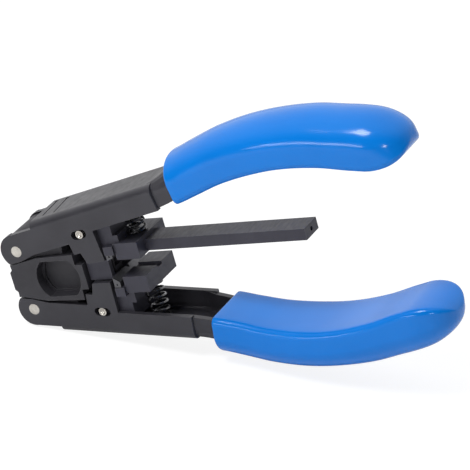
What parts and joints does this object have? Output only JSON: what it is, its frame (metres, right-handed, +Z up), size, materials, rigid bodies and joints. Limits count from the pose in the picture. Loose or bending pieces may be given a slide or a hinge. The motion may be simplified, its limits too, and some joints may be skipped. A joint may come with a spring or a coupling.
{
  "type": "drop cable stripper",
  "caption": "Plier-type jacket stripper for flat fibre drop cable: two gripped channel levers close a pair of sliding jaws with blades, with a gauge bar behind them.",
  "frame": {"origin": "middle of the footprint, on the surface the open tool stands on", "axes": "+X from the nose to the handles, along the surface; +Y across the tool, away from the camera side; +Z up"},
  "size_m": [0.1676, 0.0266, 0.0993],
  "materials": {
    "body": "satin black",
    "bush": "machined",
    "lever": "semi-gloss black",
    "grip": "glossy blue",
    "rivet": "bright",
    "jaw": "satin black",
    "blade": "ground",
    "blade_bar": "satin black",
    "screw": "dark",
    "bar": "satin black",
    "spring": "blackened"
  },
  "bodies": {
    "frame": {"centre_body": "body", "upper_bush": "bush", "lower_bush": "bush"},
    "upper_lever": {"upper_lever": "lever", "upper_grip": "grip", "upper_rivet": "rivet"},
    "lower_lever": {"lower_lever": "lever", "lower_grip": "grip", "lower_rivet": "rivet"},
    "upper_jaw": {"upper_jaw": "jaw", "upper_pin": "rivet", "upper_blade": "blade", "upper_blade_bar": "blade_bar", "upper_blade_screws": "screw", "gauge_bar": "bar", "gauge_bar_screw": "screw", "upper_spring": "spring"},
    "lower_jaw": {"lower_jaw": "jaw", "lower_pin": "rivet", "lower_blade": "blade", "lower_blade_bar": "blade_bar", "lower_blade_screws": "screw", "lower_spring": "spring"}
  },
  "joints": [
    {"name": "upper_lever_hinge", "type": "hinge", "parent": "frame", "child": "upper_lever", "pos_m": [-0.07758, 0, 0.02812], "axis": [0, 1, 0], "range_deg": [0, 8.9], "stiffness_Nm_per_rad": 3, "springref_deg": -17.19},
    {"name": "lower_lever_hinge", "type": "hinge", "parent": "frame", "child": "lower_lever", "pos_m": [-0.07203, 0, 0.00683], "axis": [0, -1, 0], "range_deg": [0, 4], "stiffness_Nm_per_rad": 3, "springref_deg": -17.19},
    {"name": "upper_jaw_slide", "type": "slide", "parent": "frame", "child": "upper_jaw", "axis": [0.2523, 0, -0.9676], "range_m": [0, 0.00432], "deforming": ["upper_spring"]},
    {"name": "lower_jaw_slide", "type": "slide", "parent": "frame", "child": "lower_jaw", "axis": [-0.2523, 0, 0.9676], "range_m": [0, 0.002], "deforming": ["lower_spring"]}
  ],
  "couplings": [
    {"joint": "upper_jaw_slide", "follows": "upper_lever_hinge", "m_per_rad": 0.027155},
    {"joint": "lower_jaw_slide", "follows": "lower_lever_hinge", "m_per_rad": 0.027264}
  ]
}
